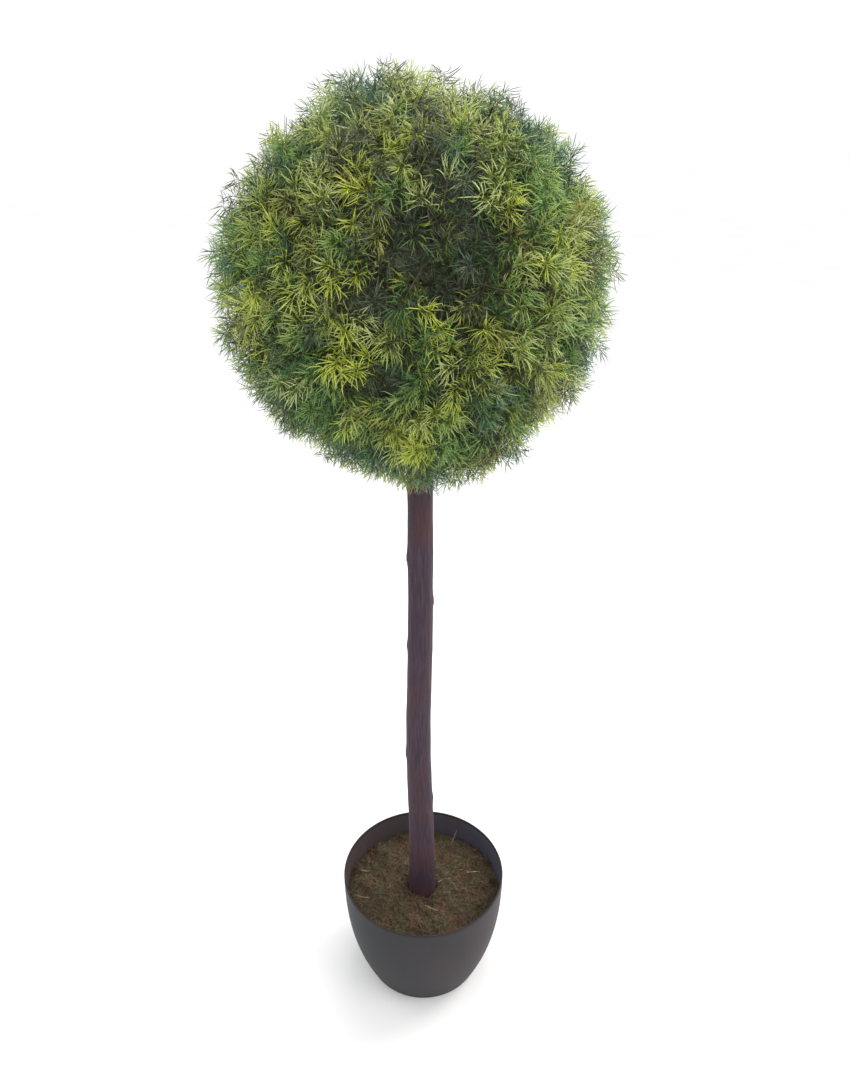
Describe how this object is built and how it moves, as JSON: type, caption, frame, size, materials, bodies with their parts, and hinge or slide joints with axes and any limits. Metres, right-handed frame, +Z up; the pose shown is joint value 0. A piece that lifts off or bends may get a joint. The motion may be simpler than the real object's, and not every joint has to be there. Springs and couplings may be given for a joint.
{
  "type": "artificial lollipop topiary in a pot",
  "caption": "Artificial clipped needle ball on a straight wooden stem, standing in a moss-topped round plastic pot with a flat underside.",
  "frame": {"origin": "middle of the pot's flat underside", "axes": "+Z up along the pot's axis, -Y towards the front"},
  "size_m": [0.4103, 0.4128, 1.1921],
  "materials": {
    "pot_plastic": "matte moulded",
    "moss": "dried moss over a cast filling",
    "stained_wood": "stained, dull",
    "needles": "matte moulded sprigs"
  },
  "bodies": {
    "root": {"pot": "pot_plastic", "moss_filling": "moss", "trunk": "stained_wood", "foliage_ball": "needles"}
  },
  "joints": []
}
